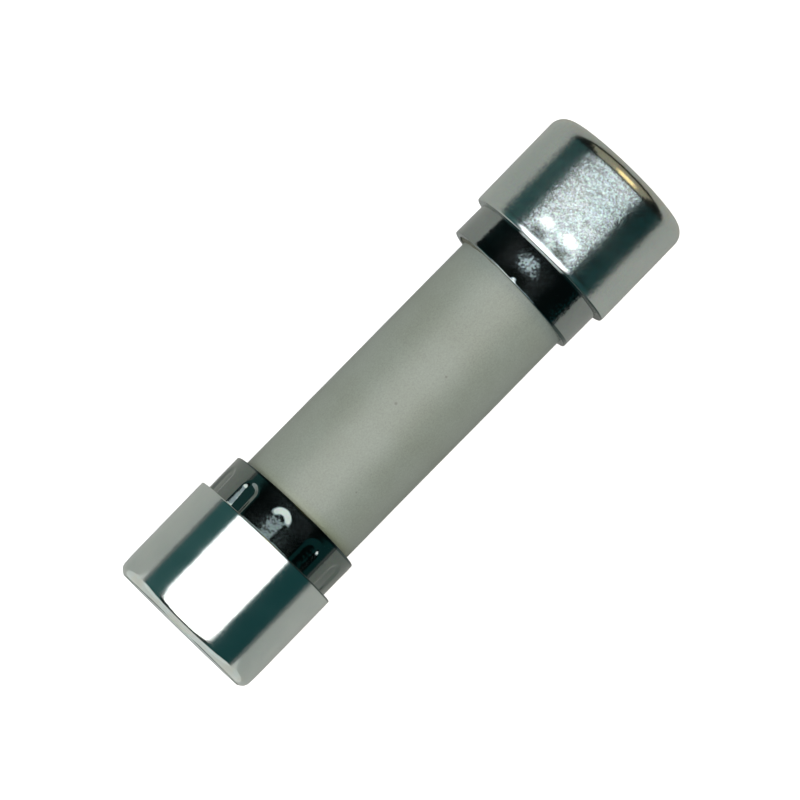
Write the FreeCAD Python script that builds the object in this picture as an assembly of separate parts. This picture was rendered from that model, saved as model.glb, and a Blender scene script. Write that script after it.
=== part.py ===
import FreeCAD, Part
import math
import os

# A sand-filled ceramic miniature fuse with stepped double end caps.
# Units are millimetres. The origin is the fuse's centre, +X runs along its axis, and it lies on
# its side with +Z up. "Right" is the +X end. The pieces of the left end are those of the right
# end turned half round, except the inner cap and its cement, which carry staking grooves.

# Overall size
overall_length = 19.5
outer_cap_diameter = 5.3

# Outer caps: drawn cups pressed over the inner caps, the surfaces that the fuse clips hold
outer_cap_length = 3.75
outer_cap_wall = 0.25
outer_cap_corner = 0.5
outer_rim_rounding = 0.12

# Inner caps: thinner cups that show as a collar inboard of each outer rim
collar_length = 1.28
inner_cap_wall = 0.2
inner_cap_corner = 0.3
inner_lip_rounding = 0.06

# Staking grooves that lock the left inner cap onto the tube, the first one nearly on top. Each
# is a round-nosed trough from the outer rim towards the lip, with a plain land left at the lip.
groove_count = 11
groove_width = 0.74
groove_land = 0.26
groove_cement_film = 0.02
first_groove_degrees = 4.4

# Tube, and the cement that fills the gap between it and the inner caps
cement_gap = 0.1
cement_recess = 0.05
tube_wall = 0.6
tube_end_chamfer = 0.12

# Fibre washers that close the tube's bore behind each inner cap
washer_thickness = 0.3

# Fusible element: a wire wound on a fibre core, with a tin spot at the middle
core_diameter = 0.6
wire_diameter = 0.12
winding_pitch = 0.8
winding_clearance = 0.01
tin_spot_length = 0.8
tin_spot_thickness = 0.18

# Solder between the two closed ends of each pair of caps, and round the winding in its hole
solder_depth = 0.35
solder_margin = 0.5
solder_taper = 0.4
feed_clearance = 0.2

# Radii of the nested pieces, from the outside in
outer_cap_radius = outer_cap_diameter / 2
inner_cap_radius = outer_cap_radius - outer_cap_wall
inner_cap_bore_radius = inner_cap_radius - inner_cap_wall
tube_radius = inner_cap_bore_radius - cement_gap
tube_bore_radius = tube_radius - tube_wall
core_radius = core_diameter / 2
wire_radius = wire_diameter / 2
winding_radius = core_radius + wire_radius + winding_clearance
winding_outer_radius = winding_radius + wire_radius
winding_hole_radius = winding_outer_radius + winding_clearance
feed_hole_radius = winding_hole_radius + feed_clearance
washer_radius = inner_cap_bore_radius - (inner_cap_corner - inner_cap_wall)
solder_foot_radius = inner_cap_radius - inner_cap_corner - solder_margin
solder_top_radius = solder_foot_radius - solder_taper

# Stations along +X, from the right end face inward
end_face_x = overall_length / 2
outer_rim_x = end_face_x - outer_cap_length
outer_cap_inside_x = end_face_x - outer_cap_wall
inner_cap_end_x = outer_cap_inside_x - solder_depth
inner_cap_inside_x = inner_cap_end_x - inner_cap_wall
inner_lip_x = outer_rim_x - collar_length
tube_end_x = inner_cap_inside_x - washer_thickness

ORIGIN = FreeCAD.Vector(0, 0, 0)
ALONG = FreeCAD.Vector(1, 0, 0)
UP = FreeCAD.Vector(0, 0, 1)
SAME_PLACE = 1e-6


def rod(radius, from_x, to_x):
    """A solid cylinder on the fuse's axis."""
    return Part.makeCylinder(radius, to_x - from_x, FreeCAD.Vector(from_x, 0, 0), ALONG)


def ring(outer_radius, bore_radius, from_x, to_x):
    """A solid tube on the fuse's axis."""
    return rod(outer_radius, from_x, to_x).cut(rod(bore_radius, from_x, to_x))


def turned(outline):
    """A solid of revolution about the fuse's axis, from a closed outline of (x, radius) points."""
    points = [FreeCAD.Vector(x, 0, radius) for x, radius in outline]
    face = Part.Face(Part.makePolygon(points + points[:1]))
    return face.revolve(ORIGIN, ALONG, 360)


def circles_at(shape, x, radius):
    """The circular edges of a shape at one station and radius."""
    found = []
    for edge in shape.Edges:
        if not isinstance(edge.Curve, Part.Circle):
            continue
        at_station = abs(edge.Curve.Center.x - x) < SAME_PLACE
        if at_station and abs(edge.Curve.Radius - radius) < SAME_PLACE:
            found.append(edge)
    return found


def rounded(shape, x, radius, rounding):
    """The shape with its edge at one station and radius rounded."""
    return shape.makeFillet(rounding, circles_at(shape, x, radius))


def turned_round(shape):
    """The same piece at the left end: turned half round about +Z."""
    return shape.rotated(ORIGIN, UP, 180)


def cup(open_x, closed_x, radius, wall, corner):
    """A drawn cap, open towards the fuse's middle, with its wall of one thickness."""
    outside = rounded(rod(radius, open_x, closed_x), closed_x, radius, corner)
    bore_radius = radius - wall
    inside = rod(bore_radius, open_x, closed_x - wall)
    inside = rounded(inside, closed_x - wall, bore_radius, corner - wall)
    return outside.cut(inside)


def outer_cap():
    """The contact cap: a cup with a rounded closed end and a softened rim."""
    cap = cup(outer_rim_x, end_face_x, outer_cap_radius, outer_cap_wall, outer_cap_corner)
    return rounded(cap, outer_rim_x, outer_cap_radius, outer_rim_rounding)


def inner_cap():
    """The cap on the tube: its closed end has a hole for the element and for filling."""
    cap = cup(inner_lip_x, inner_cap_end_x, inner_cap_radius, inner_cap_wall, inner_cap_corner)
    cap = rounded(cap, inner_lip_x, inner_cap_radius, inner_lip_rounding)
    return cap.cut(rod(feed_hole_radius, inner_cap_inside_x, inner_cap_end_x))


def groove_punches(extra_radius):
    """One round-nosed punch per staking groove, lying along the fuse from the outer rim."""
    depth = cement_gap - groove_cement_film
    radius = (groove_width ** 2 / 4 + depth ** 2) / (2 * depth) + extra_radius
    centre_radius = inner_cap_radius - depth + radius - extra_radius
    nose_x = -(inner_lip_x + groove_land + groove_width / 2)
    tip = FreeCAD.Vector(nose_x + radius, 0, 0)
    shoulder = FreeCAD.Vector(nose_x, 0, radius)
    between = FreeCAD.Vector(nose_x + radius * math.sqrt(0.5), 0, radius * math.sqrt(0.5))
    start = FreeCAD.Vector(-outer_rim_x, 0, 0)
    heel = FreeCAD.Vector(-outer_rim_x, 0, radius)
    outline = Part.Wire([
        Part.makeLine(start, heel),
        Part.makeLine(heel, shoulder),
        Part.Arc(shoulder, between, tip).toShape(),
        Part.makeLine(tip, start),
    ])
    punch = Part.Face(outline).revolve(ORIGIN, ALONG, 360)
    punch.translate(FreeCAD.Vector(0, 0, centre_radius))
    punches = []
    for index in range(groove_count):
        degrees = first_groove_degrees + index * 360 / groove_count
        punches.append(punch.rotated(ORIGIN, ALONG, -degrees))
    return punches


def staked_inner_cap():
    """The left inner cap: each groove is a trough outside and a rib inside, close to the tube."""
    cap = turned_round(inner_cap())
    middle_of_wall = rod(inner_cap_radius - inner_cap_wall / 2, -outer_rim_x, -inner_lip_x)
    for rib in groove_punches(inner_cap_wall):
        cap = cap.fuse(rib.common(middle_of_wall))
    for trough in groove_punches(0):
        cap = cap.cut(trough)
    return cap


def cement():
    """The cement in the gap round the tube, wiped off just inside the collar's lip."""
    return ring(inner_cap_bore_radius, tube_radius, inner_lip_x + cement_recess, tube_end_x)


def staked_cement():
    """The left cement, displaced by the grooves' ribs down to a film on the tube."""
    filling = turned_round(cement())
    for rib in groove_punches(inner_cap_wall):
        filling = filling.cut(rib)
    return filling


def ceramic_tube():
    """The insulating body, with its outside end edges chamfered."""
    body = ring(tube_radius, tube_bore_radius, -tube_end_x, tube_end_x)
    edges = circles_at(body, -tube_end_x, tube_radius) + circles_at(body, tube_end_x, tube_radius)
    return body.makeChamfer(tube_end_chamfer, edges)


def sand_washer():
    """A fibre washer between the tube's end and the inner cap, clear of the cap's corner."""
    return ring(washer_radius, winding_hole_radius, tube_end_x, inner_cap_inside_x)


def element_core():
    """The fibre core that carries the winding from one pool of solder to the other."""
    return rod(core_radius, -inner_cap_end_x, inner_cap_end_x)


def element_wire():
    """The fusible wire: a helix cut off flush with both pools of solder."""
    overrun = 2 * wire_diameter
    height = 2 * (inner_cap_end_x + overrun)
    path = Part.makeHelix(winding_pitch, height, winding_radius)
    start = FreeCAD.Vector(winding_radius, 0, 0)
    climb = winding_pitch / (2 * math.pi)
    direction = FreeCAD.Vector(0, winding_radius, climb)
    section = Part.Wire(Part.makeCircle(wire_radius, start, direction))
    coil = Part.Wire(path).makePipeShell([section], True, True)
    coil.translate(FreeCAD.Vector(0, 0, -height / 2))
    coil.rotate(ORIGIN, FreeCAD.Vector(0, 1, 0), 90)
    return coil.common(rod(tube_bore_radius, -inner_cap_end_x, inner_cap_end_x))


def tin_spot():
    """The bead of tin on the middle of the winding, thickest at its own middle."""
    half = tin_spot_length / 2
    shoulder = winding_hole_radius + tin_spot_thickness
    return turned([
        (-half, winding_hole_radius),
        (-half / 2, shoulder),
        (half / 2, shoulder),
        (half, winding_hole_radius),
    ])


def solder():
    """The solder that joins the element's end, the inner cap and the outer cap."""
    pool = turned([
        (inner_cap_end_x, 0),
        (inner_cap_end_x, solder_foot_radius),
        (outer_cap_inside_x, solder_top_radius),
        (outer_cap_inside_x, 0),
    ])
    plug = ring(feed_hole_radius, winding_hole_radius, inner_cap_inside_x, inner_cap_end_x)
    return pool.fuse(plug).removeSplitter()


def sand_filling():
    """The quartz sand packed in the bore, with room for the winding and the tin spot."""
    packed = ring(tube_bore_radius, winding_hole_radius, -tube_end_x, tube_end_x)
    return packed.cut(tin_spot())


nodes = {
    "ceramic_tube": ceramic_tube(),
    "outer_cap_right": outer_cap(),
    "outer_cap_left": turned_round(outer_cap()),
    "inner_cap_right": inner_cap(),
    "inner_cap_left": staked_inner_cap(),
    "cement_right": cement(),
    "cement_left": staked_cement(),
    "sand_washer_right": sand_washer(),
    "sand_washer_left": turned_round(sand_washer()),
    "element_core": element_core(),
    "element_wire": element_wire(),
    "tin_spot": tin_spot(),
    "solder_right": solder(),
    "solder_left": turned_round(solder()),
    "sand_filling": sand_filling(),
}

os.makedirs("parts", exist_ok=True)
for name, shape in nodes.items():
    shape.exportStep("parts/" + name + ".step")
    box = shape.BoundBox
    print(name, "solids", len(shape.Solids), "valid", shape.isValid(),
          "volume", round(shape.Volume, 4), "x", round(box.XMin, 3), round(box.XMax, 3),
          "radius", round(box.ZMax, 3))
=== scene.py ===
# %% [markdown]
# A miniature ceramic cartridge fuse, lying on a pale table under one large soft light. The
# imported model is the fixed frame. Everything is in metres, +X runs along the fuse's axis and
# +Z is up. Each piece that shows is turned again here as a finer mesh in the same place.

# %% Load the frame
import math

import bmesh
import bpy
import numpy as np
from mathutils import Matrix, Vector, noise


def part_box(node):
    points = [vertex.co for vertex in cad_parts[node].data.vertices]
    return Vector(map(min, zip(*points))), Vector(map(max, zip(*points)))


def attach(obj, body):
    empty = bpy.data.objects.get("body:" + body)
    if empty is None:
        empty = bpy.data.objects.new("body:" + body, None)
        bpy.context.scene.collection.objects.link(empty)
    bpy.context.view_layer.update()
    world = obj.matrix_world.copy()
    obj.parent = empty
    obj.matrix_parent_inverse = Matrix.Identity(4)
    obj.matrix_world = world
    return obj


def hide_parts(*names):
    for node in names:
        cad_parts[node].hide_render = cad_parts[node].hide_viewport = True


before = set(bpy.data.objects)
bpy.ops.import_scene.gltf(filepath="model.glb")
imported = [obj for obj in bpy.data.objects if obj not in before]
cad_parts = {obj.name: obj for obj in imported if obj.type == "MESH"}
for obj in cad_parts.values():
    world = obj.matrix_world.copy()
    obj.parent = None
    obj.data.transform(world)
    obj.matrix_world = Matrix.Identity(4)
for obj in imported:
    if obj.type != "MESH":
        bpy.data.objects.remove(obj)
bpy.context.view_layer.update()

MM = 0.001
scene = bpy.context.scene
print("nodes", sorted(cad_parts))

# %% [markdown]
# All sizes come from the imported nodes. A turned part needs only two kinds of number: stations
# along the axis and radii. The boxes of the right-hand pieces give both, and the left-hand
# pieces are the same ones turned round, so one set of values serves both ends.

# %% Measure the frame
cap_low, cap_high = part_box("outer_cap_right")
collar_low, collar_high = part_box("inner_cap_right")
tube_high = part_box("ceramic_tube")[1]
cement_low, cement_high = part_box("cement_right")
sand_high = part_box("sand_filling")[1]
end_x, rim_x, cap_radius = cap_high.x, cap_low.x, cap_high.z
collar_end_x, lip_x, collar_radius = collar_high.x, collar_low.x, collar_high.z
tube_end_x, tube_radius, tube_bore = tube_high.x, tube_high.z, sand_high.z
cement_x, collar_bore = cement_low.x, cement_high.z
cap_wall = cap_radius - collar_radius
collar_wall = collar_radius - collar_bore
print("cap", end_x, rim_x, cap_radius, "collar", collar_end_x, lip_x, collar_radius)
print("tube", tube_end_x, tube_radius, tube_bore, "cement", cement_x, collar_bore)

# %% [markdown]
# The camera looks down from about eighteen centimetres, as a hand-held close-up does. It
# stands a little past the left end, so the right end is further off and leans away. The roll
# puts the fuse's axis on the diagonal. A long lens keeps the two caps almost the same size.

# %% Camera
CAMERA_DISTANCE = 181 * MM
CAMERA_LEAN = math.radians(3.69)
AXIS_ROLL = math.radians(45.86)
FRAME_WIDTH = 24.43 * MM
SENSOR_WIDTH = 36                                       # mm
NEAREST, FARTHEST = 1 * MM, 10.0
AIM = Vector((-0.045 * MM, 0.077 * MM, 0))

towards_camera = Vector((-math.sin(CAMERA_LEAN), 0, math.cos(CAMERA_LEAN)))
along_axis = Vector((math.cos(CAMERA_LEAN), 0, math.sin(CAMERA_LEAN)))
across_axis = towards_camera.cross(along_axis)
image_right = math.cos(AXIS_ROLL) * along_axis - math.sin(AXIS_ROLL) * across_axis
image_up = math.sin(AXIS_ROLL) * along_axis + math.cos(AXIS_ROLL) * across_axis

camera_data = bpy.data.cameras.new("camera")
camera_data.sensor_width = SENSOR_WIDTH
camera_data.lens = SENSOR_WIDTH * CAMERA_DISTANCE / FRAME_WIDTH
camera_data.clip_start, camera_data.clip_end = NEAREST, FARTHEST
camera = bpy.data.objects.new("camera", camera_data)
turn = Matrix((image_right, image_up, towards_camera)).transposed()
camera.matrix_world = Matrix.Translation(AIM + CAMERA_DISTANCE * towards_camera) @ turn.to_4x4()
scene.collection.objects.link(camera)
scene.camera = camera
print("lens mm", round(camera_data.lens, 1))

# %% [markdown]
# Colours are written as sRGB hex, the way a paint card gives them. Blender's sockets want
# linear light, so one function turns them. One more adds a node with its settings and links.

# %% Colours
def linear(hex_colour):
    """An sRGB hex colour as the linear RGBA that Blender's sockets take."""
    channels = [int(hex_colour[i:i + 2], 16) / 255 for i in (1, 3, 5)]
    curve = [c / 12.92 if c <= 0.04045 else ((c + 0.055) / 1.055) ** 2.4 for c in channels]
    return (*curve, 1.0)


# %% Add a node with its settings and links
def add(tree, kind, inputs=None, **settings):
    """Adds one shader node. An input is a plain value or another node's output to link."""
    made = tree.nodes.new("ShaderNode" + kind)
    for name, value in settings.items():
        setattr(made, name, value)
    for name, value in (inputs or {}).items():
        if isinstance(value, bpy.types.NodeSocket):
            tree.links.new(value, made.inputs[name])
        else:
            made.inputs[name].default_value = value
    return made


# %% [markdown]
# A mirror-bright cap shows the room more than itself, so the lights are placed by what they
# reflect. One large soft light hangs over the fuse: it makes the white window on each cap. It
# is dimmer along its right edge, which is the part the right cap looks at, so that window is
# greyer. Its left corners are rounded, which a few narrower strips stand for. White paper is
# at the left, standing and lying. Dark blue-green cloth with a greyer hem hangs on both long
# sides, and a warm lamp and its glow are far to the right. Beyond them the room is nearly
# black.

# %% Lights
LIGHT_HEIGHT = 400 * MM
LIGHT_LEFT, LIGHT_DIMS, LIGHT_RIGHT = -300 * MM, 26 * MM, 63 * MM
LIGHT_FRONT, LIGHT_BACK = -330 * MM, 505 * MM
LIGHT_RADIANCE, DIM_RADIANCE = 3.0, 1.35
LIGHT_STEPS = (                                         # mm in from the left, share of depth
    (0, 0.36), (60, 0.52), (130, 0.67), (190, 0.81), (240, 0.92), (275, 1.0))
PAPER_DISTANCE, PAPER_HEIGHT, PAPER_WIDTH = 350 * MM, 240 * MM, 2600 * MM
PAPER_RADIANCE = 0.85
CARD_NEAR, CARD_FAR, CARD_WIDTH = -11 * MM, -330 * MM, 900 * MM
CARD_LIFT = 0.2 * MM
CARD_RADIANCE = 0.35 * PAPER_RADIANCE                   # the floor under it adds the rest
CLOTH_LEFT = -700 * MM
CLOTH_GAP = 10 * MM
CLOTHS = (                                              # side, place across, right end, colour
    ("front", LIGHT_FRONT - CLOTH_GAP, 52 * MM, "#276264"),
    ("back", LIGHT_BACK + CLOTH_GAP, 82 * MM, "#4B8080"))
CLOTH_RADIANCE = 0.47
HEM_HEIGHT = 0.09                                       # of the cloth's distance
HEM_RADIANCE = 0.2
WARM_DISTANCE = 500 * MM
WARM_LIGHTS = (               # name, degrees, height, width, shift to +Y, radiance, colour
    ("warm_glow", 48, 490 * MM, 900 * MM, 40 * MM, 0.36, "#FFF3D6"),
    ("warm_lamp", 37, 190 * MM, 250 * MM, -60 * MM, 1.75, "#FFDE92"))


def soft_light(name, centre, facing, width, height, radiance, colour):
    """A rectangular area light of a given radiance. The camera can't see it."""
    data = bpy.data.lights.new(name, "AREA")
    data.shape = "RECTANGLE"
    data.size = width
    data.size_y = height
    data.energy = radiance * math.pi * width * height
    data.color = linear(colour)[:3]
    light = bpy.data.objects.new(name, data)
    light.location = centre
    light.rotation_euler = Vector(facing).to_track_quat("-Z", "Y").to_euler()
    light.visible_camera = False
    scene.collection.objects.link(light)
    print(name, "energy W", round(data.energy, 4))


def warm_light(name, degrees, height, width, offset_y, radiance, colour):
    """A light at the right, so many degrees from straight up, that faces the fuse."""
    towards = Vector((math.sin(math.radians(degrees)), 0, math.cos(math.radians(degrees))))
    centre = WARM_DISTANCE * towards + Vector((0, offset_y, 0))
    soft_light(name, centre, -towards, width, height, radiance, colour)


starts = [LIGHT_LEFT + step * MM for step, _ in LIGHT_STEPS] + [LIGHT_DIMS]
for index, (_, share) in enumerate(LIGHT_STEPS):
    left, right = starts[index], starts[index + 1]
    front, back = share * LIGHT_FRONT, share * LIGHT_BACK
    soft_light(
        f"overhead_light_{index}", ((left + right) / 2, (front + back) / 2, LIGHT_HEIGHT),
        (0, 0, -1), right - left, back - front, LIGHT_RADIANCE, "#FFFFFF")
soft_light(
    "overhead_light_dim",
    ((LIGHT_DIMS + LIGHT_RIGHT) / 2, (LIGHT_FRONT + LIGHT_BACK) / 2, LIGHT_HEIGHT),
    (0, 0, -1), LIGHT_RIGHT - LIGHT_DIMS, LIGHT_BACK - LIGHT_FRONT, DIM_RADIANCE, "#EAF7FF")
soft_light(
    "white_card_left", ((CARD_NEAR + CARD_FAR) / 2, 0, CARD_LIFT - cap_radius), (0, 0, 1),
    CARD_NEAR - CARD_FAR, CARD_WIDTH, CARD_RADIANCE, "#FFFFFF")
soft_light(
    "white_paper_left", (-PAPER_DISTANCE, 0, PAPER_HEIGHT / 2 - cap_radius), (1, 0, 0),
    PAPER_WIDTH, PAPER_HEIGHT, PAPER_RADIANCE, "#FFFFFF")
for side, cloth_y, cloth_right, colour in CLOTHS:
    hem = HEM_HEIGHT * abs(cloth_y)
    middle_x, width = (CLOTH_LEFT + cloth_right) / 2, cloth_right - CLOTH_LEFT
    soft_light(
        f"cloth_{side}", (middle_x, cloth_y, (LIGHT_HEIGHT + hem) / 2), (0, -cloth_y, 0),
        width, LIGHT_HEIGHT - hem, CLOTH_RADIANCE, colour)
    soft_light(
        f"cloth_hem_{side}", (middle_x, cloth_y, hem / 2), (0, -cloth_y, 0),
        width, hem, HEM_RADIANCE, "#F4FAF8")
for settings in WARM_LIGHTS:
    warm_light(*settings)

# %% [markdown]
# The world is the rest of the room. The fuse sees a nearly black one. The camera sees a plain
# pale backdrop instead, as when a product is shot against white paper.

# %% Room
world = bpy.data.worlds.new("room")
world.use_nodes = True
scene.world = world
room = world.node_tree
room.nodes.clear()
dark_room = add(room, "Background", {"Color": linear("#0C1414"), "Strength": 1.0})
pale_backdrop = add(room, "Background", {"Color": linear("#FFFFFF"), "Strength": 1.0})
rays = add(room, "LightPath")
seen = add(room, "MixShader", {
    0: rays.outputs["Is Camera Ray"], 1: dark_room.outputs[0], 2: pale_backdrop.outputs[0]})
add(room, "OutputWorld", {"Surface": seen.outputs[0]})
scene.view_settings.view_transform = "Standard"

# %% Floor
FLOOR_SIZE = 4.0
FLOOR_GLOW = 0.8              # evens out the floor's far edge for the camera
floor_mesh = bpy.data.meshes.new("floor")
half = FLOOR_SIZE / 2
corners = [(-half, -half, 0), (half, -half, 0), (half, half, 0), (-half, half, 0)]
floor_mesh.from_pydata(corners, [], [(0, 1, 2, 3)])
floor = bpy.data.objects.new("floor", floor_mesh)
floor.location.z = -cap_radius
scene.collection.objects.link(floor)

white_paper = bpy.data.materials.new("white_paper")
white_paper.use_nodes = True
tree = white_paper.node_tree
tree.nodes.clear()
matt = add(tree, "BsdfDiffuse", {"Color": linear("#BFC1C0")})
bright = add(tree, "BsdfDiffuse", {"Color": linear("#E6E6E6")})
glow = add(tree, "Emission", {"Color": linear("#FFFFFF"), "Strength": FLOOR_GLOW})
both = add(tree, "AddShader", {0: bright.outputs[0], 1: glow.outputs[0]})
rays = add(tree, "LightPath")
shown = add(tree, "MixShader", {
    0: rays.outputs["Is Camera Ray"], 1: matt.outputs[0], 2: both.outputs[0]})
add(tree, "OutputMaterial", {"Surface": shown.outputs[0]})
floor_mesh.materials.append(white_paper)

# %% [markdown]
# Every visible piece of a fuse is turned or drawn, so each is a closed outline spun round the
# axis. The outline is made of straight runs and arcs, each cut into its own number of steps,
# the last number in its call, so the mesh is fine only where the surface bends. A shape
# function then moves each point by a small real amount: a crooked collar, a staking groove, a
# dent in thin metal.

# %% Outline helpers
def arc(centre_x, centre_radius, radius, from_degrees, to_degrees, steps):
    """Points on an arc in the (x, radius) plane. 0 degrees is +X and 90 is off the axis."""
    angles = np.radians(np.linspace(from_degrees, to_degrees, steps + 1))
    return [(centre_x + radius * math.cos(a), centre_radius + radius * math.sin(a))
            for a in angles]


def run(start, end, steps):
    """Evenly spaced points from start to end, without start itself."""
    return [(start[0] + (end[0] - start[0]) * k / steps,
             start[1] + (end[1] - start[1]) * k / steps) for k in range(1, steps + 1)]


def smooth(value):
    """0 below 0, 1 above 1, and an easy curve between."""
    held = min(1, max(0, value))
    return held * held * (3 - 2 * held)


# %% Spin an outline
def round_shape(x, radius, angle):
    """A point of a perfect turning. The angle runs from +Z towards +Y."""
    return Vector((x, radius * math.sin(angle), radius * math.cos(angle)))


def turned_piece(name, outline, segments, shape=round_shape, sign=1, sharp_degrees=38):
    """Spins an outline of (x, radius) round the axis. It closes on itself or at two poles."""
    capped = outline[0][1] == 0 and outline[-1][1] == 0
    angles = np.linspace(0, 2 * math.pi, segments, endpoint=False)
    vertices = []
    rows = []
    for x, radius in outline:
        spots = [0.0] if radius == 0 else angles
        rows.append(list(range(len(vertices), len(vertices) + len(spots))))
        vertices += [shape(sign * x, radius, angle) for angle in spots]
    faces = []
    pairs = list(zip(rows, rows[1:])) + ([] if capped else [(rows[-1], rows[0])])
    for near, far in pairs:
        for k in range(segments):
            n = (k + 1) % segments
            ring = [near[k % len(near)], near[n % len(near)],
                    far[n % len(far)], far[k % len(far)]]
            faces.append(list(dict.fromkeys(ring)))      # a pole's corner counts once
    mesh = bpy.data.meshes.new(name)
    mesh.from_pydata(vertices, [], faces)
    mesh.polygons.foreach_set("use_smooth", [True] * len(mesh.polygons))
    turn_outward(mesh)
    mesh.set_sharp_from_angle(angle=math.radians(sharp_degrees))
    piece = bpy.data.objects.new(name, mesh)
    scene.collection.objects.link(piece)
    print(name, "faces", len(mesh.polygons))
    return piece


def turn_outward(mesh):
    """Makes every face of a closed mesh look outward."""
    work = bmesh.new()
    work.from_mesh(mesh)
    bmesh.ops.recalc_face_normals(work, faces=work.faces)
    if work.calc_volume(signed=True) < 0:
        bmesh.ops.reverse_faces(work, faces=work.faces)
    work.to_mesh(mesh)
    work.free()


def finish_piece(piece, node, material):
    """Gives a new piece its material, hangs it on the root body and hides the CAD node it
    stands for.
    """
    piece.data.materials.append(material)
    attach(piece, "root")
    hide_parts(node)


# %% Start a material
def new_material(name):
    """An empty node material and its object coordinates, which are metres from the origin."""
    material = bpy.data.materials.new(name)
    material.use_nodes = True
    tree = material.node_tree
    tree.nodes.clear()
    return material, tree, add(tree, "TexCoord").outputs["Object"]


def two_tones(tree, value, dark, light, low=0.35, high=0.65):
    """A colour that goes from dark to light as a pattern's value goes from low to high."""
    ramp = add(tree, "ValToRGB", {"Fac": value})
    ends = ramp.color_ramp.elements
    ends[0].position, ends[0].color = low, linear(dark)
    ends[1].position, ends[1].color = high, linear(light)
    return ramp.outputs["Color"]


def between(tree, value, low, high, from_low=0.3, from_high=0.7):
    """A pattern's value spread over a range of another quantity."""
    return add(tree, "MapRange", {
        "Value": value, "From Min": from_low, "From Max": from_high,
        "To Min": low, "To Max": high}).outputs["Result"]


def blend(tree, factor, first, second, blend_type="MIX"):
    """One colour laid over another by a factor."""
    return add(tree, "Mix", {"Factor": factor, "A": first, "B": second},
               data_type="RGBA", blend_type=blend_type).outputs["Result"]


def cloudy(tree, place, size, detail=4.0):
    """The value of a cloudy pattern whose patches are about so large."""
    made = add(tree, "TexNoise", {"Vector": place, "Scale": 1 / size, "Detail": detail})
    return made.outputs["Fac"]


def bumped(tree, height, depth, strength, **settings):
    """The normals of a surface that a pattern raises by up to a depth."""
    made = add(tree, "Bump", {"Height": height, "Distance": depth, "Strength": strength},
               **settings)
    return made.outputs["Normal"]


def surface(tree, inputs):
    """Closes a material with one shader."""
    shader = add(tree, "BsdfPrincipled", inputs)
    add(tree, "OutputMaterial", {"Surface": shader.outputs[0]})


# %% [markdown]
# Bright nickel plate on drawn brass: a thin hard skin that mirrors its surroundings, greyer
# and softer than chrome. The left cap is almost a mirror. The right cap was barrel plated a
# little rough: its skin is made of fine crystal facets, each leaning its own way by about a
# degree, so the edge of a light breaks up into bright and dull grains. Where the closed end
# turns over, the plate is rubbed thin and the yellow brass begins to show.

# %% Bright nickel plate
FACET_SIZE = 0.055 * MM    # real facets are about 0.02 mm; drawn coarser so that they show
STAIN_SIZE = 1.6 * MM
PEEL_SIZE = 0.3 * MM
PEEL_DEPTH = 0.01 * MM
RUB_SIZE = 0.5 * MM
WEAR_BAND = 0.42 * MM
SHADED_EDGE_BAND = 0.03 * MM
# The second colour is painted shade for a cup's open end.
BRASS, EDGE_PAINTED_SHADE = linear("#C9A455"), linear("#4E5C5B")


def facet_normals(tree, normals, grains, facet):
    """Leans each grain its own way, by up to so many degrees along each axis."""
    lean = add(tree, "VectorMath", {0: grains, 1: (0.5, 0.5, 0.5)},
               operation="SUBTRACT").outputs[0]
    lean = add(tree, "VectorMath", {0: lean, "Scale": 2 * math.sin(math.radians(facet))},
               operation="SCALE").outputs[0]
    leaning = add(tree, "VectorMath", {0: normals, 1: lean}, operation="ADD").outputs[0]
    return add(tree, "VectorMath", {0: leaning}, operation="NORMALIZE").outputs[0]


def nickel_plate(name, tones, edge_x, roughness, peel, facet, dulling, wear):
    """Peel is the ripple's strength, facet the grains' lean in degrees, dulling how far red,
    green and blue may each fall in a grain, and wear how much brass shows.
    The open end at edge_x from the middle, and a hair in from it, is painted dark blue-green:
    painted shade for the shadowed floor that this end face mirrors."""
    material, tree, place = new_material(name)
    stain = cloudy(tree, place, STAIN_SIZE)
    along = add(tree, "SeparateXYZ", {"Vector": place}).outputs["X"]
    from_middle = add(tree, "Math", {0: along}, operation="ABSOLUTE").outputs[0]
    at_corner = between(tree, from_middle, 0.0, 1.0, end_x - WEAR_BAND, end_x - WEAR_BAND / 2)
    patches = between(tree, cloudy(tree, place, RUB_SIZE, 3.0), 0.0, wear, 0.42, 0.6)
    worn = add(tree, "Math", {0: at_corner, 1: patches}, operation="MULTIPLY").outputs[0]
    # Painted shade: the open end's face is coloured dark blue-green, for the shadowed floor it
    # mirrors.
    painted_edge_shade = between(tree, from_middle, 1.0, 0.0, edge_x + SHADED_EDGE_BAND / 2, edge_x + SHADED_EDGE_BAND)
    colour = blend(tree, worn, two_tones(tree, stain, *tones), BRASS)
    colour = blend(tree, painted_edge_shade, colour, EDGE_PAINTED_SHADE)
    grains = add(tree, "TexVoronoi", {"Vector": place, "Scale": 1 / FACET_SIZE})
    grains = grains.outputs["Color"]
    dullness = add(tree, "VectorMath", {0: grains, 1: (dulling,) * 3, 2: (1 - dulling,) * 3},
                   operation="MULTIPLY_ADD").outputs[0]
    colour = add(tree, "VectorMath", {0: colour, 1: dullness}, operation="MULTIPLY").outputs[0]
    rippled = bumped(tree, cloudy(tree, place, PEEL_SIZE, 3.0), PEEL_DEPTH, peel)
    surface(tree, {
        "Metallic": 1.0, "Base Color": colour,
        "Roughness": between(tree, stain, roughness - 0.02, roughness + 0.03),
        "Normal": facet_normals(tree, rippled, grains, facet)})
    return material


outer_tones = ("#C3CDCA", "#CFD6D3")
left_plate = nickel_plate(
    "nickel_plate_bright", outer_tones, rim_x,
    roughness=0.13, peel=0.12, facet=0.3, dulling=0.04, wear=0.1)
right_plate = nickel_plate(
    "nickel_plate_grained", outer_tones, rim_x,
    roughness=0.19, peel=0.4, facet=0.95, dulling=0.11, wear=0.15)

# %% [markdown]
# The outer cap is a deep-drawn cup pressed over the inner one. Its closed end turns over a
# generous radius, a little larger on the right one. The right rim was rolled in by a hair,
# which draws a bright line round it, and two shallow dents from handling lie close to it.

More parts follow.
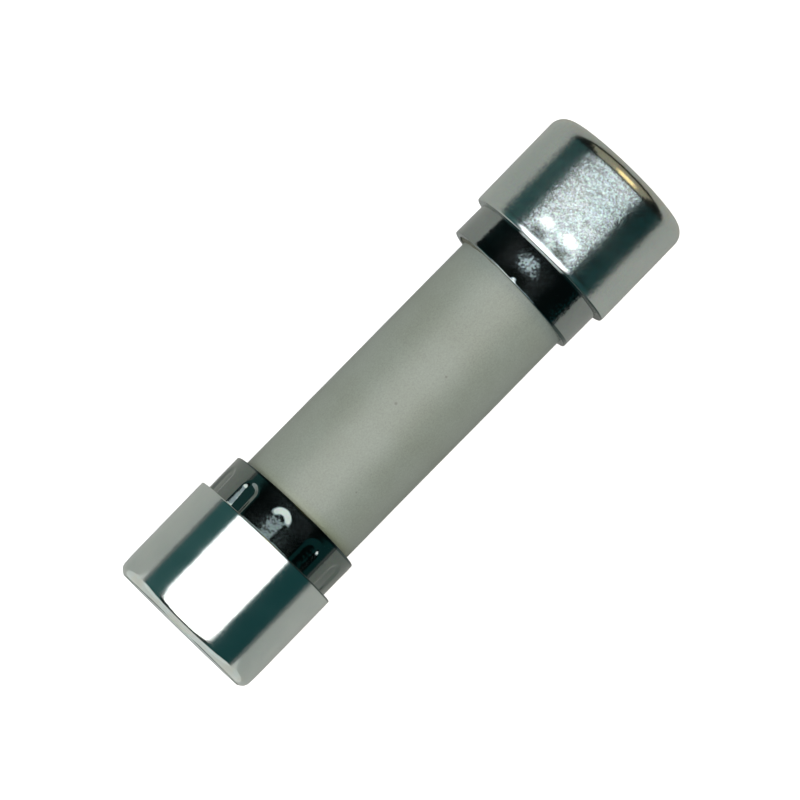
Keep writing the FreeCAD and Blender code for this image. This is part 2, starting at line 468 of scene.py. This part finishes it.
# %% Outer caps
CAP_CORNERS = {"left": 0.3 * MM, "right": 0.5 * MM}
RIM_ROUNDINGS = {"left": 0.04 * MM, "right": 0.03 * MM}
SHOULDER = 0.45 * MM          # the last of the wall, which already eases in towards the corner
SHOULDER_DROP = 0.014 * MM
RIM_ROLL = 0.17 * MM
RIM_ROLL_DROP = 0.018 * MM
RIM_BEAD = 0.002 * MM
RIM_SKEW, SKEW_REACH = 0.013, 2 * MM
BEAD_RISE = 0.1 * MM
FINE_MESH = 1.2 * MM          # in from the rim, where the mesh is finer
CAP_DENTS = (                                # in from the rim, round from the top, reach, depth
    (0.56 * MM, math.radians(13), 0.42 * MM, 0.013 * MM),
    (0.58 * MM, math.radians(-6), 0.46 * MM, 0.014 * MM))
CAP_SEGMENTS = 360


def outer_cap_outline(corner, rim_rounding):
    """A cup from the middle of its closed end round the rim and back inside."""
    inside_x, bore = end_x - cap_wall, collar_radius
    inner_corner = corner - cap_wall
    points = [(end_x, 0)]
    points += run(points[-1], (end_x, cap_radius - corner), 10)
    points += arc(end_x - corner, cap_radius - corner, corner, 0, 90, 20)[1:]
    points += run(points[-1], (rim_x + FINE_MESH, cap_radius), 24)
    points += run(points[-1], (rim_x + rim_rounding, cap_radius), 30)
    points += arc(rim_x + rim_rounding, cap_radius - rim_rounding, rim_rounding, 90, 180, 8)[1:]
    points += run(points[-1], (rim_x, bore), 2)
    points += run(points[-1], (inside_x - inner_corner, bore), 5)
    points += arc(inside_x - inner_corner, bore - inner_corner, inner_corner, 90, 0, 5)[1:]
    points += run(points[-1], (inside_x, 0), 3)
    return points


def dent(x, angle, centre_x, centre_angle, reach, depth):
    """How far a shallow round dent lowers a point of a collar or cap, given its place on it."""
    round_way = math.remainder(angle - centre_angle, 2 * math.pi) * cap_radius
    return depth * (1 - smooth(math.hypot(x - centre_x, round_way) / reach))


def left_cap_shape(x, radius, angle):
    """The left cap eases in before its corner, and its rim is cut a little out of square."""
    inward = abs(x) - rim_x
    from_corner = abs(x) - (end_x - CAP_CORNERS["left"] - SHOULDER)
    if radius > collar_radius + cap_wall / 4:
        radius -= SHOULDER_DROP * max(0, from_corner / SHOULDER) ** 2
    point = round_shape(x, radius, angle)
    point.x += math.copysign(RIM_SKEW, x) * point.y * (1 - min(1, inward / SKEW_REACH))
    return point


def right_cap_shape(x, radius, angle):
    """The right cap has the rolled rim with its bead, and the dents."""
    inward = x - rim_x
    if radius > collar_radius + cap_wall / 4:
        radius -= RIM_ROLL_DROP * (1 - min(1, inward / RIM_ROLL)) ** 2
        radius -= RIM_BEAD * smooth((inward - RIM_ROLL) / BEAD_RISE)
        radius -= sum(dent(inward, angle, *place) for place in CAP_DENTS)
    point = round_shape(x, radius, angle)
    point.x += RIM_SKEW * point.y * (1 - min(1, inward / SKEW_REACH))
    return point


for side, sign, plate, shape in (("left", -1, left_plate, left_cap_shape),
                                 ("right", 1, right_plate, right_cap_shape)):
    outline = outer_cap_outline(CAP_CORNERS[side], RIM_ROUNDINGS[side])
    cap = turned_piece(f"outer_cap_{side}_plated", outline, CAP_SEGMENTS, shape, sign)
    finish_piece(cap, f"outer_cap_{side}", plate)

# %% [markdown]
# The inner cap sits on the tube and shows as a narrow collar of smoother, darker plate. Both
# collars sit a few degrees crooked on the ceramic, so they mirror the dark of the room and
# not the light. The left one was staked: eleven round-nosed grooves, punched in from the
# outer rim, hold it on the tube. A groove is a distance from its spine, turned into a depth
# by a smooth step.

# %% Dark plate for the collars
left_collar_plate = nickel_plate(
    "nickel_plate_dark_left", ("#767F7B", "#848C88"), lip_x,
    roughness=0.075, peel=0.04, facet=0.3, dulling=0.1, wear=0.0)
right_collar_plate = nickel_plate(
    "nickel_plate_dark_right", ("#969E9C", "#A3AAA8"), lip_x,
    roughness=0.085, peel=0.08, facet=0.9, dulling=0.1, wear=0.0)

# %% Inner caps
COLLAR_SEGMENTS = 528
LIP_ROUNDING = 0.03 * MM
END_CORNER = 0.3 * MM
FEED_HOLE = 0.64 * MM
TUCK = 0.2 * MM               # under the outer cap, where the mesh turns coarse
LEAN_START = 0.2 * MM         # out from the outer rim, where the lip's slope is at its full
LEAN = {                      # pitch, yaw, and the lip's slope to each of them
    "left": (math.tan(math.radians(4.5)), 0.0, 0.03, -0.01),
    "right": (math.tan(math.radians(3.4)), math.tan(math.radians(1.0)), 0.0, 0.045)}
GROOVE_COUNT = 11
GROOVE_WIDTH = 0.74 * MM
GROOVE_FLOOR = 0.34 * MM
GROOVE_LAND = 0.3 * MM
BLOWS = (                                    # one a groove: depth in mm, tilt in degrees
    (0.044, 0.9), (0.07, 4.0), (0.05, 1.0), (0.06, 1.5), (0.045, 0.5), (0.05, 1.0),
    (0.06, 1.5), (0.05, 0.5), (0.045, 1.0), (0.05, 1.0), (0.045, 0.0))
GROOVE_HAMMER = 0.0008 * MM
HAMMER_SIZE = 0.07 * MM
FADE_END, FADE_LENGTH = 0.15 * MM, 0.1 * MM  # of the grooves, under the outer cap
FIRST_GROOVE = math.radians(4.4)
groove_nose_x = -(lip_x + GROOVE_LAND + GROOVE_WIDTH / 2)


def inner_cap_outline():
    """A cup with a feed hole, from the hole round the lip and back inside."""
    inside_x, bore = collar_end_x - collar_wall, collar_bore
    end_centre = (collar_end_x - END_CORNER, collar_radius - END_CORNER)
    lip_centre = (lip_x + LIP_ROUNDING, collar_radius - LIP_ROUNDING)
    inner_corner = END_CORNER - collar_wall
    points = [(inside_x, FEED_HOLE), (collar_end_x, FEED_HOLE)]
    points += run(points[-1], (collar_end_x, collar_radius - END_CORNER), 2)
    points += arc(*end_centre, END_CORNER, 0, 90, 5)[1:]
    points += run(points[-1], (rim_x + TUCK, collar_radius), 3)
    points += run(points[-1], (lip_x + LIP_ROUNDING, collar_radius), 50)
    points += arc(*lip_centre, LIP_ROUNDING, 90, 180, 6)[1:]
    points += run(points[-1], (lip_x, bore), 2)
    points += run(points[-1], (inside_x - inner_corner, bore), 8)
    points += arc(inside_x - inner_corner, bore - inner_corner, inner_corner, 90, 0, 3)[1:]
    return points


def groove_depth(x, angle):
    """How deep the staking is at a point of the left collar."""
    pitch = 2 * math.pi / GROOVE_COUNT
    depth, tilt = BLOWS[round((angle - FIRST_GROOVE) / pitch) % GROOVE_COUNT]
    off_spine = math.remainder(angle - FIRST_GROOVE, pitch) * collar_radius
    away = math.hypot(off_spine, max(0, x - groove_nose_x))
    wall = (GROOVE_WIDTH - GROOVE_FLOOR) / 2
    full = depth * MM + math.tan(math.radians(tilt)) * max(0, groove_nose_x - x)
    hammered = noise.noise(Vector((x, off_spine, angle * collar_radius)) / HAMMER_SIZE)
    return (full + GROOVE_HAMMER * hammered) * (1 - smooth((away - GROOVE_FLOOR / 2) / wall))


def crooked(point, pitch, yaw, lip_pitch, lip_yaw):
    """Leans a collar's point: its height and side fall off along +X, from the outer rim."""
    side = 1 if point.x > 0 else -1
    shown = min(1, max(0, rim_x - abs(point.x)) / LEAN_START)
    point.x += shown * (lip_yaw * point.y + lip_pitch * point.z)
    out = max(0, rim_x - abs(point.x))
    point.y += side * yaw * out
    point.z += side * pitch * out
    return point


def left_collar_shape(x, radius, angle):
    """The left collar leans and has the grooves, which fade out under the outer cap."""
    if radius > collar_bore + collar_wall / 2:
        radius -= smooth((rim_x + FADE_END - abs(x)) / FADE_LENGTH) * groove_depth(x, angle)
    return crooked(round_shape(x, radius, angle), *LEAN["left"])


RIGHT_DENTS = (                              # x from the rim, round from the top, reach, depth
    (-0.9 * MM, math.radians(4), 0.75 * MM, 0.025 * MM),
    (-1.3 * MM, math.radians(3), 0.19 * MM, 0.02 * MM))
RIGHT_HAMMER = 0.045                         # of the dent's depth


def right_collar_shape(x, radius, angle):
    """The right collar leans and has a shallow dent with a deeper one in it."""
    if radius > collar_bore + collar_wall / 2:
        hammered = noise.noise(Vector((x, angle * collar_radius, 0)) / HAMMER_SIZE)
        dented = sum(dent(x - rim_x, angle, *place) for place in RIGHT_DENTS)
        radius -= dented * (1 + RIGHT_HAMMER * hammered)
    return crooked(round_shape(x, radius, angle), *LEAN["right"])


left_collar = turned_piece(
    "inner_cap_left_plated", inner_cap_outline(), COLLAR_SEGMENTS, left_collar_shape, -1)
finish_piece(left_collar, "inner_cap_left", left_collar_plate)
right_collar = turned_piece(
    "inner_cap_right_plated", inner_cap_outline(), COLLAR_SEGMENTS, right_collar_shape, 1)
finish_piece(right_collar, "inner_cap_right", right_collar_plate)

# %% [markdown]
# The body is a fired, unglazed ceramic tube: dull grey-white with a faint green cast, an
# eggshell-fine grain, cloudy patches a millimetre or two across and a few tiny pits, whose dark
# is painted shade on a surface that stays smooth there.
# Beside the left collar the cement's water has stained it yellow-green.

# %% Fired ceramic
CLOUD_SIZE = 1.8 * MM
SPECK_SIZE = 0.05 * MM
SPECK_DEPTH = 0.004 * MM
STAIN_REACH = 0.45 * MM
PIT_PAINTED_SHADE = 0.55
PITS = (                      # x in mm, degrees round from +Z towards -Y, radius in mm
    (-0.34, -2.5, 0.07), (1.3, 12, 0.055), (-3.1, 26, 0.04), (2.9, -20, 0.04))


def fired_ceramic():
    material, tree, place = new_material("fired_ceramic")
    clouds = cloudy(tree, place, CLOUD_SIZE)
    specks = cloudy(tree, place, SPECK_SIZE, 3.0)
    colour = two_tones(tree, clouds, "#91998F", "#98A199")
    colour = blend(tree, 1.0, colour, between(tree, specks, 0.86, 1.1), "MULTIPLY")
    axes = add(tree, "SeparateXYZ", {"Vector": place})
    near_lip = between(tree, axes.outputs["X"], 1.0, 0.0, -lip_x, -lip_x + STAIN_REACH)
    lower = between(tree, axes.outputs["Y"], 1.0, 0.25, -tube_radius, tube_radius)
    stain = add(tree, "Math", {0: near_lip, 1: lower}, operation="MULTIPLY").outputs[0]
    stain = add(tree, "Math", {0: stain, 1: between(tree, clouds, 0.2, 0.8)},
                operation="MULTIPLY").outputs[0]
    colour = blend(tree, stain, colour, linear("#8E9A62"))
    for x, degrees, size in PITS:
        middle = round_shape(x * MM, tube_radius, math.radians(-degrees))
        away = add(tree, "VectorMath", {0: place, 1: middle}, operation="DISTANCE")
        # Painted shade: each pit is only a dark spot of colour, the shade that would lie in its
        # hollow.
        pit_shade = between(tree, away.outputs["Value"], PIT_PAINTED_SHADE, 0.0, size * MM / 3, size * MM)
        colour = blend(tree, pit_shade, colour, linear("#5F6156"))
    surface(tree, {
        "Base Color": colour, "Roughness": between(tree, specks, 0.42, 0.56), "IOR": 1.76,
        "Normal": bumped(tree, specks, SPECK_DEPTH, 0.7)})
    return material


# %% Ceramic tube
TUBE_SEGMENTS = 256
END_CHAMFER = 0.12 * MM
WAVINESS = 0.003              # of the radius
WAVE_SIZE, WAVE_STRETCH = 1.1 * MM, 3
SIDESTEP, SIDESTEP_SLOPE = -0.04 * MM, -0.007


def tube_outline():
    """A thick-walled tube with a chamfer at each end."""
    points = [(-tube_end_x, tube_bore), (-tube_end_x, tube_radius - END_CHAMFER)]
    points += run(points[-1], (-tube_end_x + END_CHAMFER, tube_radius), 2)
    points += run(points[-1], (tube_end_x - END_CHAMFER, tube_radius), 90)
    points += run(points[-1], (tube_end_x, tube_radius - END_CHAMFER), 2)
    points += run(points[-1], (tube_end_x, tube_bore), 2)
    return points


def off_centre(x):
    """The tube sits up to a tenth of a millimetre to one side, more at its right end."""
    return SIDESTEP + SIDESTEP_SLOPE * x


def tube_shape(x, radius, angle):
    """Extruded and fired clay is never quite true: its outside wanders by some microns."""
    point = round_shape(x, radius, angle)
    if radius > tube_bore:
        stretched = Vector((x / WAVE_STRETCH, point.y, point.z))
        point *= 1 - WAVINESS * (1 + noise.noise(stretched / WAVE_SIZE))
        point.x = x
    point.y += off_centre(x)
    return point


tube = turned_piece("ceramic_tube_fired", tube_outline(), TUBE_SEGMENTS, tube_shape)
finish_piece(tube, "ceramic_tube", fired_ceramic())

# %% [markdown]
# Cement fills the hairline gap between each collar and the tube. It is a pale, slightly yellow
# mineral paste, wiped off just inside the lip, so its edge is ragged. Its colour here is a dark
# grey-olive, painted shade for the gap under the collar's lip. The ring is turned like the rest
# and noise pushes its open edge to and fro.

# %% Cement
WIPE_DEPTH = 0.04 * MM
RAG_SIZE = 0.4 * MM
GRIT_SIZE, GRIT_DEPTH = 0.05 * MM, 0.01 * MM


def wiped_cement_painted_shade():
    material, tree, place = new_material("mineral_cement_painted_shade")
    grit = cloudy(tree, place, GRIT_SIZE)
    surface(tree, {
        # Painted shade: dark grey-olive for the shaded gap under the lip, in place of the
        # paste's own pale colour.
        "Base Color": two_tones(tree, grit, "#5F6156", "#7A7B6C"),
        "Roughness": between(tree, grit, 0.75, 0.95),
        "Normal": bumped(tree, grit, GRIT_DEPTH, 0.8)})
    return material


def cement_outline():
    """A thin ring between the tube and its collar, as long as the collar's overlap."""
    points = [(tube_end_x, tube_radius), (tube_end_x, collar_bore)]
    points += run(points[-1], (cement_x, collar_bore), 6)
    points += run(points[-1], (cement_x, tube_radius), 3)
    return points


def cement_shape(lean):
    """The ragged edge, an outside that follows its crooked collar and a bore on the tube."""
    def shape(x, radius, angle):
        point = round_shape(x, radius, angle)
        if abs(x) < cement_x + WIPE_DEPTH / 2:
            point.x += math.copysign(WIPE_DEPTH, x) * noise.noise(point / RAG_SIZE)
        if radius > (tube_radius + collar_bore) / 2:
            return crooked(point, *lean)
        point.y += off_centre(x)
        return point
    return shape


cement = wiped_cement_painted_shade()
for side, sign in (("left", -1), ("right", 1)):
    ring = turned_piece(
        f"cement_{side}_wiped", cement_outline(), TUBE_SEGMENTS, cement_shape(LEAN[side]), sign)
    finish_piece(ring, f"cement_{side}", cement)

# %% [markdown]
# The rest is sealed inside and keeps its CAD shape, but each piece still gets its own finish,
# so that the fuse can be opened up later. First the washers: red-brown vulcanised fibre, a
# dense pressed board made of layers of paper, whose cut edge shows them as fine lines.

# %% Vulcanised fibre
LAYER_SIZE, LAYER_DEPTH = 0.05 * MM, 0.006 * MM
LAYER_STRETCH = 0.12


def dress(names, material):
    """Puts a finish on CAD nodes that keep their own shape."""
    for name in names:
        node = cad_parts[name]
        node.data.materials.clear()
        node.data.materials.append(material)


def vulcanised_fibre():
    material, tree, place = new_material("vulcanised_fibre")
    flattened = add(tree, "Mapping", {
        "Vector": place, "Scale": (1, LAYER_STRETCH, LAYER_STRETCH)}).outputs[0]
    layers = cloudy(tree, flattened, LAYER_SIZE)
    surface(tree, {
        "Base Color": two_tones(tree, layers, "#5B3524", "#7E5238"),
        "Roughness": between(tree, layers, 0.5, 0.7),
        "Normal": bumped(tree, layers, LAYER_DEPTH, 0.5)})
    return material


dress(["sand_washer_left", "sand_washer_right"], vulcanised_fibre())

# %% [markdown]
# The element's core is a twisted glass-fibre yarn: white, silky, with strands that run round
# it at a slant. A wave pattern laid on slanted coordinates draws the strands.

# %% Glass-fibre yarn
STRAND_WIDTH, STRAND_DEPTH = 0.08 * MM, 0.02 * MM
STRAND_SLANT = math.radians(35)


def glass_yarn():
    material, tree, place = new_material("glass_fibre_yarn")
    slant = add(tree, "Mapping", {"Vector": place, "Rotation": (0, 0, STRAND_SLANT)}).outputs[0]
    strands = add(tree, "TexWave", {
        "Vector": slant, "Scale": 1 / (3 * STRAND_WIDTH), "Distortion": 1.5, "Detail": 2.0})
    strands = strands.outputs["Fac"]
    surface(tree, {
        "Base Color": two_tones(tree, strands, "#C9C9C2", "#E9E9E4", 0.2, 0.8),
        "Roughness": between(tree, strands, 0.35, 0.6), "IOR": 1.52,
        "Normal": bumped(tree, strands, STRAND_DEPTH, 0.8)})
    return material


dress(["element_core"], glass_yarn())

# %% [markdown]
# The element is silver-plated copper wire. Drawing leaves fine lines along it, and the silver
# is thin enough that warm copper shows in places.

# %% Silvered copper wire
THIN_PATCH = 0.25 * MM
DRAW_LINE, DRAW_DEPTH = 0.02 * MM, 0.002 * MM


def silvered_wire():
    material, tree, place = new_material("silvered_copper_wire")
    thin = cloudy(tree, place, THIN_PATCH)
    lines = cloudy(tree, place, DRAW_LINE, 2.0)
    surface(tree, {
        "Metallic": 1.0, "Base Color": two_tones(tree, thin, "#C8906E", "#D9D7CF", 0.3, 0.45),
        "Roughness": between(tree, thin, 0.3, 0.18),
        "Normal": bumped(tree, lines, DRAW_DEPTH, 0.4)})
    return material


dress(["element_wire"], silvered_wire())

# %% [markdown]
# The tin spot and the solder are soft grey tin, which freezes in frost-like grains: a cell
# pattern gives each grain its own shade.

# %% Frozen tin
FROST_SIZE, FROST_DEPTH = 0.18 * MM, 0.01 * MM


def frozen_tin():
    material, tree, place = new_material("frozen_tin")
    frost = add(tree, "TexVoronoi", {"Vector": place, "Scale": 1 / FROST_SIZE})
    shade = add(tree, "SeparateColor", {"Color": frost.outputs["Color"]}).outputs["Red"]
    surface(tree, {
        "Metallic": 1.0, "Base Color": two_tones(tree, shade, "#8E9092", "#C3C5C6", 0.1, 0.9),
        "Roughness": between(tree, shade, 0.28, 0.5),
        "Normal": bumped(tree, frost.outputs["Distance"], FROST_DEPTH, 0.5)})
    return material


dress(["tin_spot", "solder_left", "solder_right"], frozen_tin())

# %% [markdown]
# Quartz sand packs the bore and quenches the arc. Grains are about a fifth of a millimetre,
# from clear to honey brown. A cell pattern of that size colours and rounds each grain.

# %% Quartz sand
SAND_GRAIN, SAND_DEPTH = 0.2 * MM, 0.06 * MM


def quartz_sand():
    material, tree, place = new_material("quartz_sand")
    grains = add(tree, "TexVoronoi", {"Vector": place, "Scale": 1 / SAND_GRAIN})
    shade = add(tree, "SeparateColor", {"Color": grains.outputs["Color"]}).outputs["Green"]
    surface(tree, {
        "Base Color": two_tones(tree, shade, "#A98F63", "#E4DCC8", 0.05, 0.6),
        "Roughness": between(tree, shade, 0.2, 0.5, 0.0, 1.0), "IOR": 1.54,
        "Normal": bumped(tree, grains.outputs["Distance"], SAND_DEPTH, 1.0, invert=True)})
    return material


dress(["sand_filling"], quartz_sand())
